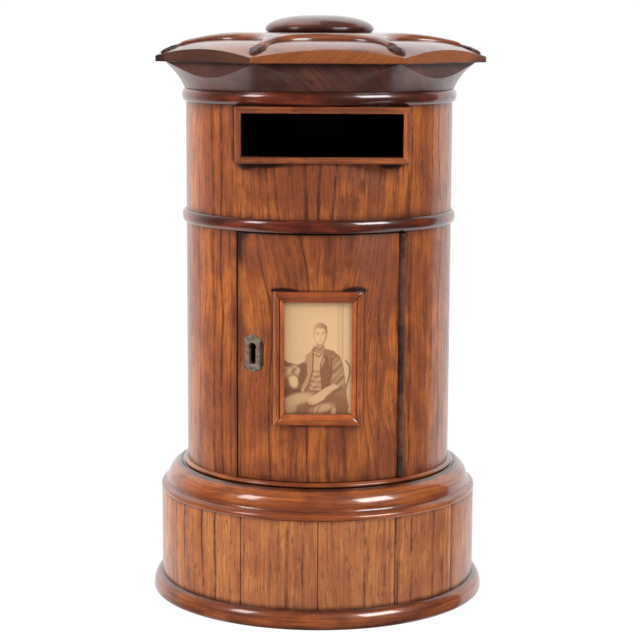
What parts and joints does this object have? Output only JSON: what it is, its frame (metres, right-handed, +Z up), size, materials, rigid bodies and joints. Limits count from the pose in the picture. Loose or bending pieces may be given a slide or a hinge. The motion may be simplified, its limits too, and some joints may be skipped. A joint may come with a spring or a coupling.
{
  "type": "desk letter box",
  "caption": "Round oak desk letter box like a small pillar box, with posting slot, framed print on a curved hinged door, coved cornice and carved polygonal lid.",
  "frame": {"origin": "on the table, on the axis of the round case", "axes": "+Z up along the case's axis, -Y towards the front with the door and the slot, +X to the viewer's right"},
  "size_m": [0.2826, 0.2826, 0.4864],
  "materials": {
    "oak_mouldings": "polished, red-brown",
    "oak_plinth": "polished, honey brown",
    "oak_case": "polished, honey brown",
    "oak_cornice": "polished, dark brown",
    "oak_lid": "polished, red-brown",
    "oak_door": "polished, honey brown",
    "oak_slot_frame": "polished, red-brown",
    "oak_picture_frame": "polished, red-brown",
    "dark_carving": "dark, worn",
    "pine_inside": "plain, unpolished",
    "card_mount": "plain card",
    "sepia_print": "toned print",
    "glass_pane": "clear",
    "hinge_metal": "dark, tarnished",
    "screw_steel": "dull",
    "lock_brass": "dull brass",
    "escutcheon_bronze": "green-grey patina"
  },
  "bodies": {
    "root": {"foot_moulding": "oak_mouldings", "plinth_staves": "oak_plinth", "base_board": "pine_inside", "plinth_top_board": "pine_inside", "plinth_moulding": "oak_mouldings", "neck_bead": "oak_mouldings", "case_screws": "screw_steel", "lower_case_shell": "oak_case", "upper_case_shell": "oak_case", "case_floor": "pine_inside", "floor_bearers": "pine_inside", "door_stop": "pine_inside", "mid_bead": "oak_mouldings", "top_bead": "oak_mouldings", "ceiling_board": "pine_inside", "ceiling_screws": "screw_steel", "slot_top_rail": "oak_slot_frame", "slot_bottom_rail": "oak_slot_frame", "slot_left_stile": "oak_slot_frame", "slot_right_stile": "oak_slot_frame", "cornice_cove": "oak_cornice", "lid_dowels": "pine_inside", "lid_slab": "oak_lid", "lid_star": "oak_lid", "corner_buds": "dark_carving", "dome_boss": "oak_lid", "dome_spigot": "pine_inside", "hinge_case_leaf": "hinge_metal", "hinge_pin": "hinge_metal", "hinge_case_screws": "screw_steel", "strike_plate": "lock_brass", "strike_screws": "screw_steel"},
    "door": {"door_panel": "oak_door", "picture_top_rail": "oak_picture_frame", "picture_bottom_rail": "oak_picture_frame", "picture_left_stile": "oak_picture_frame", "picture_right_stile": "oak_picture_frame", "portrait_card": "card_mount", "portrait_print": "sepia_print", "picture_glass": "glass_pane", "hinge_door_leaf": "hinge_metal", "hinge_door_screws": "screw_steel", "lock_plate": "lock_brass", "lock_case": "lock_brass", "lock_stud": "lock_brass", "lock_spring": "lock_brass", "lock_screws": "screw_steel", "escutcheon": "escutcheon_bronze", "escutcheon_pins": "escutcheon_bronze"},
    "bolt": {"lock_bolt": "lock_brass"}
  },
  "joints": [
    {"name": "door_hinge", "type": "hinge", "parent": "root", "child": "door", "pos_m": [0.06695, -0.08916, 0.2145], "axis": [0, 0, 1], "range_deg": [0, 135]},
    {"name": "lock_bolt_slide", "type": "slide", "parent": "door", "child": "bolt", "axis": [-0.8821, 0.471, 0], "range_m": [0, 0.0056]}
  ]
}
